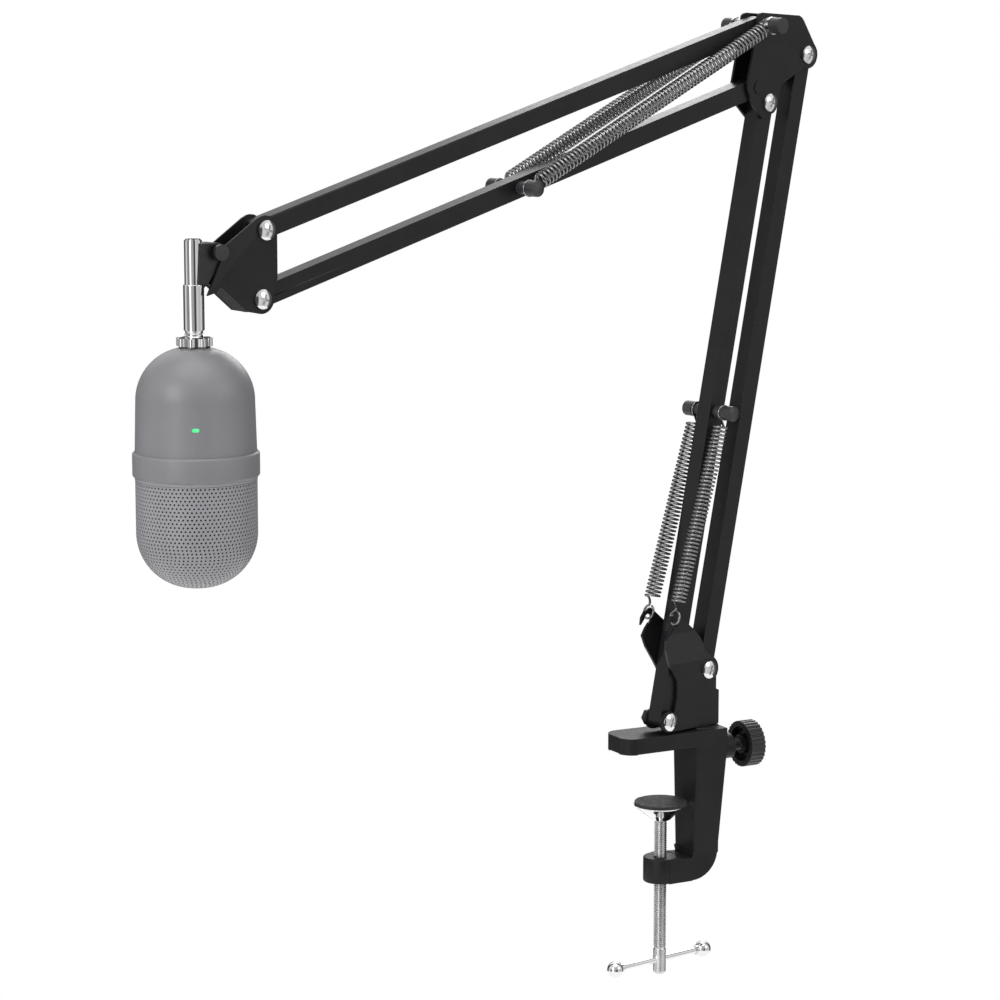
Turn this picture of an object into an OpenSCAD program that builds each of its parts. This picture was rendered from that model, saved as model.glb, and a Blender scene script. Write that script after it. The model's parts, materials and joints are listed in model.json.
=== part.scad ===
// USB condenser microphone on a scissor boom arm with a desk clamp, in millimetres.
// The origin is on the clamp's desk seat, the underside of the upper jaw, on the clamp
// screw's axis. +Z is up and +X points to the back of the clamp. The arm stands in a
// vertical plane through the post's axis, swivelled about the post by arm_swivel.

/* [Clamp] */
// Thickness of the upper jaw
jaw_t = 9; // [8:0.5:12]
// Width of the upper jaw
jaw_w = 25; // [22:0.5:28]
// Reach of the upper jaw ahead of the clamp screw
jaw_reach = 30; // [26:1:36]
// Height of the throat between the jaws
throat_h = 62; // [56:1:72]
// Thickness of the lower jaw
low_jaw_t = 14; // [12:0.5:16]
// Distance from the clamp screw to the face of the back
back_x = 15.6; // [15.5:0.1:18]
// Diameter of the clamp screw
screw_d = 7; // [6:0.5:8]
// Height of the pad's rubber face, below the seat
pad_z = -31; // [-40:0.5:-20]
// Diameter of the pad
pad_d = 30; // [26:0.5:30]
// Diameter of the lock knob
knob_d = 25.6; // [22:0.2:28]

/* [Arm] */
// Distance from pivot to pivot along each arm
arm_len = 341; // [320:1:360]
// Lean of the lower arm from the vertical, in degrees
lower_lean = 11.7; // [8:0.1:16]
// Slope of the upper arm below the horizontal, in degrees
upper_slope = 16.4; // [10:0.1:22]
// Swivel of the whole arm about the post, in degrees
arm_swivel = 10; // [-20:1:30]
// Width of the square tube that the bars are made of
bar_w = 10; // [9.6:0.1:10]
// Wall of the square tube
bar_wall = 1; // [0.8:0.1:1.2]
// Diameter of the post that turns in the clamp
post_d = 12; // [11:0.1:12.4]
// Outer diameter of the tension springs
spring_d = 9; // [8:0.1:9]

/* [Microphone] */
// Diameter of the microphone at its band's edges
mic_d = 58.4; // [57.6:0.1:60]
// Height of the microphone
mic_h = 116; // [114:1:124]
// Diameter of the band round the middle
band_d = 61; // [60.2:0.2:63]
// Height of the band
band_h = 12; // [9:0.5:13]
// Depth of the band's top below the microphone's top
band_top = 50; // [48:0.5:55]
// Direction that the microphone's front faces in the arm's own frame, in degrees
mic_front = -123.4; // [-140:0.1:-110]

/* [Hidden] */
$fn = 64;

// Fits and shared hardware
run = 0.05;              // radial clearance of a shaft that turns in a bore
snug = 0.02;             // radial gap of a fixed pin, which keeps the solids apart
bolt_r = 2.5;            // M5 pivot bolts
head_r = 4.8;            // their pan heads
head_h = 2.7;
nut_r = 4.62;            // across the corners of a nut 8 across its flats
nut_h = 4;
bush_r = 3.5;            // plain bushes in the bars' ends
open_bore = 2.75;        // bush bore at the two pivots that close each linkage
half = bar_w / 2;
plate_in = 5.5;          // inner face of a bracket's side plates
plate_t = 1.5;
plate_out = plate_in + plate_t;

// Clamp
back_t = 20;             // thickness of the back, front to rear
low_half = 9.7;          // half width of the lower jaw
boss_r = 9.5;            // round boss about the screw
low_z = -throat_h - low_jaw_t;
post_x = 24.5;           // post axis behind the screw axis
hub_z = jaw_t + 1;       // top of the post's hub
post_low = -28;
lock_z = -4.5;           // height of the lock screw
boss_out = back_x + back_t + 9;
stud_r = 3;
knob_x = 51.5;           // clamp side face of the knob
knob_t = 9;
cup_h = 10;
screw_low = -129;
tommy_z = -121;
tommy_r = 1.65;
tommy_span = 32;         // from the screw's axis to each ball's centre
tommy_turn = 9;          // heading of the tommy bar, degrees from +X
ball_r = 4.5;

// Pivots in the arm's own frame, [x, z] with x from the post's axis
p1 = [-28.5, 16.2];                                   // lower front bar, bottom
base_link = [28.5, 25.5];                             // from front to rear pivot
r1 = p1 + base_link;                                  // lower rear bar, bottom
p2 = p1 + arm_len * [sin(lower_lean), cos(lower_lean)];
r2 = p2 + base_link;
pa = p2 + [-5, 41.2];                                 // upper top bar, at the elbow
head_link = [-2.6, -33];                              // from top to bottom pivot
pd = pa + head_link;                                  // upper bottom bar, at the elbow
ph = pa - arm_len * [cos(upper_slope), sin(upper_slope)];
pg = ph + head_link;
lean_deg = 90 - lower_lean;                           // lower bars' rise from +X
slope_deg = 180 + upper_slope;                        // upper bars' heading from +X

// Springs and their pins
hook = p1 + [-1, 55];                                 // hook hole in the base bracket
low_spring_y = 10.6;
up_spring_y = 12;
pin_r = 2;
low_pin = 171;                                        // along the lower front bar
up_pin = 172;                                         // along the upper bottom bar
spring_wire = 1.3;
low_pin_at = p1 + low_pin * [sin(lower_lean), cos(lower_lean)];
up_pin_at = pd - up_pin * [cos(upper_slope), sin(upper_slope)];

// Head and microphone, in the arm's own frame
tilt_at = ph + [-26.5, -9.5];
rod_x = ph.x - 37;
rod_r = 4.3;
sleeve_r = 5;
rod_top = ph.y - 3;
sleeve_top = ph.y - 24.6;
ring_top = ph.y - 49.3;
ring_h = 4;
mic_top = ph.y - 54.3;
stud_low = 9;                                         // thread inside the microphone
thread_r = 4.76;                                      // 3/8 inch microphone thread
mic_r = mic_d / 2;
dome_r = mic_r - 3.7;                                 // corner radius of the top
end_r = mic_r - 2.2;                                  // corner radius of the grille's end
shell_w = 2;
mesh_w = 1;
split = band_top + band_h / 2;                        // where shell and grille meet
led_z = 36.5;                                           // depth of the light below the top
board_z = 44;                                         // depth of the board's underside
board_t = 1.6;
capsule_z = 90;
capsule_r = 8.5;

// ---- helpers ----------------------------------------------------------------

module in_arm() translate([post_x, 0, 0]) rotate([0, 0, arm_swivel]) children();

// Extrudes an outline drawn in x and z from y0 to y1
module slab(y0, y1) translate([0, y1, 0]) rotate([90, 0, 0]) linear_extrude(y1 - y0) children();

module both_sides() {
    children();
    mirror([0, 1, 0]) children();
}

module at(p) translate([p.x, 0, p.y]) children();

module at2(p) translate([p.x, p.y]) children();

// Round rod along y, from y0 to y1
module rod_y(r, y0, y1) translate([0, y1, 0]) rotate([90, 0, 0]) cylinder(h = y1 - y0, r = r);

module ring(r_out, r_in, z0, z1) {
    translate([0, 0, z0]) difference() {
        cylinder(h = z1 - z0, r = r_out);
        translate([0, 0, -1]) cylinder(h = z1 - z0 + 2, r = r_in);
    }
}

module ring_y(r_out, r_in, y0, y1) translate([0, y0, 0]) rotate([-90, 0, 0])
    ring(r_out, r_in, 0, y1 - y0);

// Flat strip of sheet between two points of the x-z plane, across the bracket
module web(a, b, w = plate_in) {
    run_x = b.x - a.x;
    run_z = b.y - a.y;
    at(a) rotate([0, -atan2(run_z, run_x), 0])
        translate([0, -w, 0]) cube([norm([run_x, run_z]), 2 * w, plate_t]);
}

// Pan head with a cross recess, under side at y = -plate_out, facing -y
module pan_head(r = head_r, h = head_h) {
    recess_w = 1.1;
    recess_l = 5.2;
    difference() {
        translate([0, -plate_out, 0]) rotate([90, 0, 0]) intersection() {
            cylinder(h = h, r = r);
            translate([0, 0, h - 2 * r]) sphere(r = 2 * r);
        }
        for (turn = [20, 110]) rotate([0, turn, 0])
            translate([-recess_l / 2, -plate_out - h - 0.1, -recess_w / 2])
                cube([recess_l, 1.9, recess_w]);
    }
}

module pivot_bolt() {
    pan_head();
    rod_y(bolt_r, -plate_out - 0.5, plate_out + nut_h + 0.8);
}

module hex_nut(y0 = plate_out) {
    translate([0, y0, 0]) rotate([-90, 0, 0]) difference() {
        cylinder(h = nut_h, r = nut_r, $fn = 6);
        translate([0, 0, -1]) cylinder(h = nut_h + 2, r = bolt_r + snug);
    }
}

module pivot_washers() both_sides() ring_y(5.4, 3.8, half + 0.05, plate_in - 0.05);

// Square tube with rounded ears round its two pivots, along +X
module bar(from, heading) {
    at(from) rotate([0, -heading, 0]) difference() {
        slab(-half, half) union() {
            translate([0, -half]) square([arm_len, bar_w]);
            circle(half);
            translate([arm_len, 0]) circle(half);
        }
        translate([-bar_w, bar_wall - half, bar_wall - half])
            cube([arm_len + 2 * bar_w, bar_w - 2 * bar_wall, bar_w - 2 * bar_wall]);
        for (x = [0, arm_len]) translate([x, 0, 0]) rod_y(bush_r + snug, -bar_w, bar_w);
        children();
    }
}

module bush(bore) ring_y(bush_r, bore, -half - 0.2, half + 0.2);

module plate_pair() both_sides() slab(plate_in, plate_out) children();

// ---- clamp ------------------------------------------------------------------

module clamp_frame() {
    corner = 8;
    back_low = back_x + 16;                 // the back thins towards the bottom
    bend_r = 16;
    color("#232325") difference() {
        union() {
            intersection() {
                slab(-jaw_w, jaw_w) union() {
                    translate([-jaw_reach, 0]) square([jaw_reach + back_x + back_t, jaw_t]);
                    polygon([
                        [back_x, 1], [back_x, -throat_h - 1], [0, -throat_h], [0, low_z],
                        [back_low - bend_r, low_z], [back_low, low_z + bend_r],
                        [back_x + back_t, 0], [back_x + back_t, 1]
                    ]);
                    intersection() {
                        translate([back_low - bend_r, low_z + bend_r]) circle(bend_r);
                        translate([back_low - bend_r - 0.5, low_z]) square(bend_r + 0.5);
                    }
                }
                // The casting narrows from the upper jaw to the lower one
                translate([-jaw_reach, 0, 0]) rotate([90, 0, 90])
                    linear_extrude(jaw_reach + back_x + back_t)
                    polygon([
                        [-low_half, low_z - 1], [low_half, low_z - 1], [low_half, -throat_h],
                        [jaw_w / 2, -4], [jaw_w / 2, jaw_t + 1], [-jaw_w / 2, jaw_t + 1],
                        [-jaw_w / 2, -4], [-low_half, -throat_h]
                    ]);
                // Rounded front corners of the upper jaw
                translate([0, 0, low_z - 1]) linear_extrude(-low_z + jaw_t + 2) union() {
                    translate([corner - jaw_reach, -jaw_w / 2])
                        square([jaw_reach + back_x + back_t - corner, jaw_w]);
                    translate([-jaw_reach, corner - jaw_w / 2]) square([corner, jaw_w - 2 * corner]);
                    for (s = [-1, 1]) translate([corner - jaw_reach, s * (jaw_w / 2 - corner)])
                        circle(corner);
                }
            }
            translate([0, 0, low_z]) cylinder(h = low_jaw_t, r = boss_r);
            translate([post_x, 0, 0]) cylinder(h = hub_z, r = 10.4);
            translate([back_x + back_t - 2, 0, lock_z]) rotate([0, 90, 0])
                cylinder(h = boss_out - back_x - back_t + 2, r = 7);
        }
        translate([post_x, 0, post_low - 1]) cylinder(h = hub_z - post_low + 2, r = post_d / 2 + run);
        translate([0, 0, low_z - 1]) cylinder(h = low_jaw_t + 2, r = screw_d / 2 + run);
        translate([post_x, 0, lock_z]) rotate([0, 90, 0]) cylinder(h = 40, r = stud_r + run);
    }
}

module pad_cup() {
    rim = pad_d / 2;
    color("#d8d8da") difference() {
        rotate_extrude() polygon([
            [0, pad_z - cup_h], [5.5, pad_z - cup_h], [8, pad_z - 7.4], [12.5, pad_z - 4],
            [rim - 0.4, pad_z - 2.2], [rim, pad_z - 1.6], [0, pad_z - 1.6]
        ]);
        translate([0, 0, pad_z - cup_h - 1]) cylinder(h = 5, r = screw_d / 2 - 1 + run);
    }
}

module pad_rubber() color("#1b1b1c") translate([0, 0, pad_z - 1.6])
    cylinder(h = 1.6, r = pad_d / 2 - 0.5);

module clamp_screw() {
    tip = 3.6;                              // the neck that turns in the cup
    top = pad_z - cup_h;
    color("#b9babc") difference() {
        union() {
            translate([0, 0, screw_low + 1]) cylinder(h = top - screw_low - 1.1, r = screw_d / 2);
            translate([0, 0, screw_low]) cylinder(h = 1.5, r = screw_d / 2 - 0.8);
            translate([0, 0, top - 1]) cylinder(h = tip, r = screw_d / 2 - 1);
        }
        translate([0, 0, tommy_z]) rotate([0, 90, tommy_turn])
            cylinder(h = 3 * screw_d, r = tommy_r + run, center = true);
    }
}

module along_tommy() translate([0, 0, tommy_z]) rotate([0, 0, tommy_turn]) children();

module tommy_bar() color("#d8d8da") along_tommy() {
    rotate([0, 90, 0]) cylinder(h = 2 * (tommy_span - ball_r), r = tommy_r, center = true);
    rotate([0, 90, 0]) cylinder(h = 2 * tommy_span, r = 1.1, center = true);
}

// Ball with a collar, bored for the bar's end
module tommy_ball() rotate([0, 90, 0]) rotate_extrude() difference() {
    collar_z = tommy_span - ball_r - 1;
    intersection() {
        translate([0, collar_z]) square([10, 20]);
        union() {
            translate([0, tommy_span]) circle(ball_r);
            translate([-1, collar_z]) square([3.5, 3]);
        }
    }
    translate([-1, collar_z - 1]) square([2.1 + snug, tommy_span + 1.3 - collar_z]);
    translate([-1, collar_z - 1]) square([1 + tommy_r + snug, 2.02]);
}

module tommy_balls() color("#d8d8da") along_tommy() for (turn = [0, 180])
    rotate([0, 0, turn]) tommy_ball();

module along_lock() translate([0, 0, lock_z]) rotate([0, 90, 0]) children();

module lock_tip() color("#e8e4d8") along_lock()
    translate([0, 0, post_x + post_d / 2 + 0.3]) cylinder(h = 3, r = stud_r - 0.5);

module lock_stud() {
    start = post_x + post_d / 2 + 3.35;
    color("#c4c5c8") along_lock() {
        translate([0, 0, start]) cylinder(h = knob_x + knob_t - 2.5 - start, r = stud_r);
    }
}

module lock_knob() {
    ribs = 30;
    rib_r = 0.7;
    color("#1e1e20") along_lock() difference() {
        translate([0, 0, knob_x]) cylinder(h = knob_t, r = knob_d / 2);
        translate([0, 0, knob_x - 1]) difference() {
            cylinder(h = 5.5, r = knob_d / 2 - 3.2);
            cylinder(h = 6, r = 5.4);
        }
        translate([0, 0, knob_x - 1]) cylinder(h = knob_t - 1.4, r = stud_r + snug);
        for (i = [0:ribs - 1]) rotate([0, 0, i * 360 / ribs])
            translate([knob_d / 2 + 0.2, 0, knob_x - 1]) cylinder(h = knob_t + 2, r = rib_r, $fn = 16);
    }
}

// ---- base -------------------------------------------------------------------

base_low = hub_z + 0.4 - p1.y;             // underside of the base bracket, from p1

module base_post() {
    web_top = hub_z + 0.4 + plate_t;
    color("#b4b5b8") in_arm() {
        translate([0, 0, post_low]) cylinder(h = hub_z + 0.35 - post_low, r = post_d / 2);
        translate([0, 0, hub_z]) cylinder(h = plate_t + 1.5, r = 4);
        translate([0, 0, web_top + 0.05]) cylinder(h = 1.2, r = 5.2);
    }
}

// Side plate of the base bracket in x and z from the front pivot
module base_outline() {
    hook_at = hook - p1;
    difference() {
        union() {
            polygon([
                [0, base_low], [36.7, base_low], [36.7, 13], [34.6, 14], [34.6, 20],
                [34, 30], [25.5, 36.5], [20, 44.5], [13, 51], [1.2, 60.8], [-3, 59.6],
                [-5.7, 56], [-6.3, 51], [-6.1, 47], [-4.5, 40], [0, 31], [5.6, 22], [5.6, 12],
                [4, 6]
            ]);
            circle(-base_low);
            translate(base_link) circle(7.6);
        }
        translate([-0.5, 18]) circle(6.3);
        translate(hook_at) circle(2.6);
        translate(hook_at) rotate(230) translate([0, -2]) square([12, 4]);
    }
}

module base_bracket() {
    // The plates' section: the hooks are set outwards, over the springs' axes
    jog = low_spring_y - plate_in - plate_t / 2;
    color("#1d1d1f") in_arm() difference() {
        union() {
            both_sides() intersection() {
                at(p1) slab(plate_in - 1, plate_out + jog + 1) base_outline();
                at(p1) translate([-20, 0, 0]) rotate([90, 0, 90]) linear_extrude(70) polygon([
                    [plate_in, base_low - 1], [plate_out, base_low - 1], [plate_out, 31.5],
                    [plate_out + jog, 49.6], [plate_out + jog, 62], [plate_in + jog, 62],
                    [plate_in + jog, 50], [plate_in, 31.9]
                ]);
            }
            at(p1) translate([8, -plate_in - 0.2, base_low])
                cube([28.7, 2 * plate_in + 0.4, plate_t]);
            at(p1) translate([36.7 - plate_t, -plate_in - 0.2, base_low])
                cube([plate_t, 2 * plate_in + 0.4, 13 - base_low]);
        }
        for (p = [p1, r1]) at(p) rod_y(bolt_r + snug, -20, 20);
        translate([0, 0, hub_z - 1]) cylinder(h = 4, r = 4 + snug);
    }
}

module base_bolts() color("#dedee0") in_arm() for (p = [p1, r1]) at(p) pivot_bolt();

module base_nuts() color("#c8c8cc") in_arm() for (p = [p1, r1]) at(p) hex_nut();

module base_washers() color("#d9d6cc") in_arm() for (p = [p1, r1]) at(p) pivot_washers();

// ---- lower arm --------------------------------------------------------------

module lower_front_bar() color("#222224") in_arm()
    bar(p1, lean_deg) translate([low_pin, 0, 0]) rod_y(pin_r + snug, -bar_w, bar_w);

module lower_rear_bar() color("#222224") in_arm() bar(r1, lean_deg);

module lower_front_bushes() color("#cfa75a") in_arm() for (p = [p1, p2]) at(p) bush(bolt_r + run);

module lower_rear_bushes() color("#cfa75a") in_arm() {
    at(r1) bush(bolt_r + run);
    at(r2) bush(open_bore);
}

module lower_spring_pin() color("#b4b5b8") in_arm() at(low_pin_at) rod_y(pin_r, -18.5, 18.5);

// Distance sleeves against the bar and domed caps on the pin's ends
module pin_caps(spring_y, cap_y) {
    both_sides() {
        ring_y(3.4, pin_r + snug, half + 0.05, spring_y - 1.2);
        difference() {
            intersection() {
                rod_y(4.1, spring_y + 1.2, cap_y);
                translate([0, cap_y - 8, 0]) sphere(r = 8);
            }
            rod_y(pin_r + snug, 0, cap_y - 1);
        }
    }
}

module lower_pin_caps() color("#19191b") in_arm() at(low_pin_at) pin_caps(low_spring_y, 19.6);

eye_r = 3.2;                                // middle of a spring's end eye
eye_gap = 7;                                // from an eye's centre to the coils
hook_eye_r = 3.7;                           // middle of the tall loop at the base's hook
hook_gap = 12;                              // from the hook's hole to the coils

// Puts a spring's end at a point, with its coils towards +x, on both sides of the arm
module spring_end(from, to, y) {
    at(from) rotate([0, -atan2(to.y - from.y, to.x - from.x), 0]) both_sides()
        translate([0, y, 0]) children();
}

// Wire eye and the straight wire that leads from it to the coils
module spring_eye(turn, reach, r = eye_r) {
    wire = spring_wire / 2;
    rotate([turn, 0, 0]) rotate_extrude() translate([r, 0]) circle(r = wire, $fn = 24);
    translate([r, 0, 0]) rotate([0, 90, 0]) cylinder(h = reach - r, r = wire);
}

// Tension spring from its fixed end: an eye and the tube that stands for its coils
module spring_coils(from, to, y, start) {
    len = norm([to.x - from.x, to.y - from.y]) - start - eye_gap;
    spring_end(from, to, y) {
        difference() {
            translate([start, 0, 0]) rotate([0, 90, 0]) cylinder(h = len, r = spring_d / 2);
            translate([start + 1, 0, 0]) rotate([0, 90, 0])
                cylinder(h = len - 2, r = spring_d / 2 - spring_wire);
        }
        children();
    }
}

module lower_springs() color("#3a3a3c") in_arm()
    spring_coils(hook, low_pin_at, low_spring_y, hook_gap)
        translate([hook_eye_r, 0, 0]) spring_eye(0, hook_gap - hook_eye_r + 0.5, hook_eye_r);

module lower_spring_eyes() color("#3a3a3c") in_arm() spring_end(low_pin_at, hook, low_spring_y)
    spring_eye(90, eye_gap - 0.05);

// ---- elbow ------------------------------------------------------------------

// Side plate of the elbow in x and z from the lower front bar's top pivot
module elbow_outline() {
    union() {
        polygon([
            [-9.3, 44.5], [-6, 48.2], [21, 46.7], [25.5, 44], [36, 27.5], [34, 20.5], [26, 18.4],
            [9, 9.5], [6.5, 0], [0, -6.5], [-4.5, -8.8], [-12.2, -1.5], [-16.5, 8], [-12.5, 26]
        ]);
        circle(6.5);
        translate(base_link) circle(7.6);
        translate([-5.6, 44.4]) circle(3.8);
        translate([20.5, 41.2]) circle(5.6);
    }
}

module elbow_bracket() {
    color("#1d1d1f") in_arm() difference() {
        union() {
            plate_pair() at2(p2) elbow_outline();
            at(p2) web([1.5, 46], [21, 45.1], plate_in + 0.2);
            at(p2) web([25.3, 41.4], [34.4, 27.6], plate_in + 0.2);
        }
        for (p = [p2, r2, pa, pd]) at(p) rod_y(bolt_r + snug, -20, 20);
    }
}

module elbow_bolts() color("#dedee0") in_arm() for (p = [p2, r2]) at(p) pivot_bolt();

module elbow_nuts() color("#c8c8cc") in_arm() for (p = [p2, r2]) at(p) hex_nut();

module elbow_rivet() color("#1b1b1d") in_arm() at(pd) {
    rod_y(bolt_r, -plate_out - 0.3, plate_out + 0.3);
    both_sides() rod_y(3.6, plate_out + 0.02, plate_out + 0.5);
}

module elbow_washers() color("#d9d6cc") in_arm() for (p = [p2, r2, pa, pd]) at(p) pivot_washers();

bolt_end = 22;                              // half length of the spring bolt

module elbow_spring_bolt() color("#dedee0") in_arm() at(pa) {
    rod_y(bolt_r, 1.5 - bolt_end, bolt_end - 1.5);
    both_sides() {
        ring_y(4.4, bolt_r + snug, plate_out, up_spring_y - 1.3);
        ring_y(4.7, bolt_r + snug, up_spring_y + 1.2, up_spring_y + 3);
    }
}

module elbow_spring_caps() color("#58585b") in_arm() at(pa) both_sides() difference() {
    rod_y(4.3, up_spring_y + 3.05, bolt_end);
    rod_y(bolt_r + snug, 0, bolt_end - 1.4);
}

// ---- upper arm --------------------------------------------------------------

module upper_top_bar() color("#222224") in_arm() bar(pa, slope_deg);

module upper_bottom_bar() color("#222224") in_arm()
    bar(pd, slope_deg) translate([up_pin, 0, 0]) rod_y(pin_r + snug, -bar_w, bar_w);

module upper_top_bushes() color("#cfa75a") in_arm() {
    at(pa) bush(bolt_r + run);
    at(ph) bush(open_bore);
}

module upper_bottom_bushes() color("#cfa75a") in_arm() for (p = [pd, pg]) at(p) bush(bolt_r + run);

module upper_spring_pin() color("#b4b5b8") in_arm() at(up_pin_at) rod_y(pin_r, -18.9, 18.9);

module upper_pin_caps() color("#19191b") in_arm() at(up_pin_at) pin_caps(up_spring_y, 20);

module upper_springs() color("#3a3a3c") in_arm()
    spring_coils(pa, up_pin_at, up_spring_y, eye_gap) spring_eye(90, eye_gap + 0.5);

module upper_spring_eyes() color("#3a3a3c") in_arm() spring_end(up_pin_at, pa, up_spring_y)
    spring_eye(90, eye_gap - 0.05);

// ---- head -------------------------------------------------------------------

// Side plate of the head in x and z from the top bar's outer pivot
module head_outline() {
    union() {
        polygon([
            [-4.5, 5.7], [3, 6.2], [6.7, 1], [6.7, -23], [3.6, -36], [-4, -40], [-11, -38.7],
            [-26, -26], [-29, -28.6], [-33.6, -29.8], [-24.6, -12], [-26.2, -8.6]
        ]);
        circle(7);
        translate(head_link) circle(7.2);
    }
}

module head_bracket() {
    fold = 47;                              // heading of the fold below the horizontal
    color("#1d1d1f") in_arm() difference() {
        union() {
            plate_pair() at2(ph) head_outline();
            at(ph) web([-26.5, -25.2], [-11, -38.6], plate_in + 0.2);
        }
        // A shallow facet on each outer face, falling away forwards of the fold
        both_sides() at(ph + [-4.5, -2]) rotate([0, 90 + fold, 0]) translate([0, plate_out, 0])
            rotate([-4.5, 0, 0]) translate([-20, 0, -60]) cube([80, 10, 60]);
        for (p = [ph, pg, tilt_at]) at(p) rod_y(bolt_r + snug, -20, 20);
    }
}

module head_bolts() color("#dedee0") in_arm() for (p = [ph, pg]) at(p) pivot_bolt();

module head_nuts() color("#c8c8cc") in_arm() for (p = [ph, pg]) at(p) hex_nut();

module head_washers() color("#d9d6cc") in_arm() for (p = [ph, pg]) at(p) pivot_washers();

module tilt_bolt() color("#dedee0") in_arm() at(tilt_at) {
    rod_y(bolt_r, -plate_out - 1.6, plate_out + nut_h + 0.8);
    rod_y(3.9, -plate_out - 2, -plate_out);
}

module tilt_nut() color("#c8c8cc") in_arm() at(tilt_at) hex_nut();

block_half = 5.2;

module swivel_block() {
    z_low = sleeve_top + 0.1 - ph.y;
    color("#161618") in_arm() difference() {
        slab(-block_half, block_half) at2(ph) union() {
            polygon([
                [-26.5, -5], [-36.2, -5], [-37.8, z_low], [-32, z_low], [-22.6, -12]
            ]);
            translate([-26.5, -9.5]) circle(4.5);
        }
        translate([rod_x, 0, 0]) cylinder(h = 600, r = rod_r + snug);
        translate([rod_x - 10, -rod_r - snug, 0]) cube([10, 2 * (rod_r + snug), 600]);
        at(tilt_at) rod_y(bolt_r + run, -20, 20);
    }
}

module on_rod() in_arm() translate([rod_x, 0, 0]) children();

module mic_rod() color("#dcdcdf") on_rod() {
    foot = ring_top + 4.6;
    translate([0, 0, foot]) cylinder(h = rod_top - 0.6 - foot, r = rod_r);
    translate([0, 0, rod_top - 0.7]) cylinder(h = 0.7, r = rod_r - 0.6);
}

module rod_sleeve() {
    socket = ring_top + 4;
    shoulder = ring_top + 2.9;              // the thread runs up this far, so the ring can rise
    thread_low = mic_top - stud_low;
    color("#dcdcdf") on_rod() difference() {
        union() {
            translate([0, 0, shoulder]) cylinder(h = sleeve_top - shoulder, r = sleeve_r);
            translate([0, 0, thread_low]) cylinder(h = shoulder - thread_low + 0.5, r = thread_r);
        }
        translate([0, 0, socket]) cylinder(h = sleeve_top - socket + 1, r = rod_r + run);
    }
}

module lock_ring() {
    lobes = 8;
    lobe_at = 7.2;
    color("#d2d2d4") on_rod() difference() {
        translate([0, 0, ring_top - 0.5 - ring_h]) {
            cylinder(h = ring_h - 0.1, r = 7.3);
            for (i = [0:lobes - 1]) rotate([0, 0, i * 360 / lobes])
                translate([lobe_at, 0, 0]) cylinder(h = ring_h - 0.1, r = 1.6, $fn = 24);
        }
        translate([0, 0, ring_top - 10]) cylinder(h = 20, r = thread_r + run);
    }
}

module ring_washer() color("#efefee") on_rod()
    ring(7.6, thread_r + 0.3, mic_top + 0.02, mic_top + 0.46);

// ---- microphone -------------------------------------------------------------

module in_mic() on_rod() translate([0, 0, mic_top]) rotate([0, 0, mic_front]) children();

// Takes the corner outside a quarter circle, r about (flat, z), off a half section.
// side is 1 for an upper corner and -1 for a lower one.
module round_corner(flat, r, z, side) {
    difference() {
        children();
        difference() {
            translate([flat, side > 0 ? z : z - 100]) square([100, 100]);
            translate([flat, z]) circle(r, $fn = 128);
        }
    }
}

// Half section of the upper body, wall inset by w
module shell_section(w) {
    narrow = mic_r - 0.7;                   // the shell widens a little down to the band
    round_corner(narrow - dome_r, dome_r - w, -dome_r, 1) polygon([
        [0, -w], [narrow - w, -w], [narrow - w, -dome_r], [mic_r - w, -band_top],
        [mic_r - w, -split], [0, -split]
    ]);
}

// Half section of the grille, wall inset by w
module grille_section(w) {
    low = -mic_h + end_r;
    round_corner(mic_r - end_r, end_r - w, low, -1)
        translate([0, -mic_h + w]) square([mic_r - w, mic_h - w - split]);
}

module thread_insert() color("#b98d48") in_mic() difference() {
    union() {
        translate([0, 0, -11]) cylinder(h = 10.95, r = 7);
        translate([0, 0, -4.6]) cylinder(h = 1.6, r = 9);
    }
    translate([0, 0, -stud_low - 0.6]) cylinder(h = stud_low + 1, r = thread_r + run);
}

usb_w = 8.94;
usb_t = 3.2;
usb_z = -board_z + board_t + usb_t / 2 + 0.02;

module usb_form(w, t, x0, x1) {
    translate([x0, 0, usb_z]) rotate([90, 0, 90]) linear_extrude(x1 - x0) union() {
        square([w - t, t], center = true);
        for (s = [-1, 1]) translate([s * (w - t) / 2, 0]) circle(t / 2);
    }
}

module led_form(grow, x0, x1) {
    w = 1.7;
    t = 1.8;
    translate([x0, 0, -led_z]) rotate([90, 0, 90]) linear_extrude(x1 - x0) union() {
        square([w + 2 * grow, t + 2 * grow], center = true);
        for (s = [-1, 1]) translate([s * w / 2, 0]) circle(t / 2 + grow);
    }
}

module mic_shell() color("#98989e") in_mic() difference() {
    rotate_extrude($fn = 128) shell_section(0);
    translate([0, 0, 0]) rotate_extrude($fn = 128) shell_section(shell_w);
    translate([0, 0, -split - 1]) cylinder(h = 2, r = mic_r - shell_w);
    translate([0, 0, -3]) cylinder(h = 4, r = 7 + snug);
    usb_form(10.4, 4.4, -mic_r - 5, -mic_r + 8);
    led_form(0.05, mic_r - 6, mic_r + 5);
}

module mic_band() {
    top = -band_top;
    low = -band_top - band_h;
    out = band_d / 2;
    seat = mic_r + snug;
    ease = 0.8;
    color("#98989e") in_mic() rotate_extrude($fn = 128) polygon([
        [seat, top], [out - ease, top], [out, top - ease], [out, low + ease], [out - ease, low],
        [seat, low]
    ]);
}

module mic_grille() color("#8d8d92") in_mic() difference() {
    rotate_extrude($fn = 128) translate([0, -0.02]) grille_section(0);
    rotate_extrude($fn = 128) grille_section(mesh_w);
    translate([0, 0, -split - 1]) cylinder(h = 2, r = mic_r - mesh_w);
}

module grille_foam() {
    skin = mesh_w + 0.3;
    top = -split - 8.4;
    color("#2a2a2c") in_mic() difference() {
        rotate_extrude() grille_section(skin);
        rotate_extrude() grille_section(skin + 2);
        translate([0, 0, top]) cylinder(h = 60, r = mic_r);
    }
}

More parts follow.
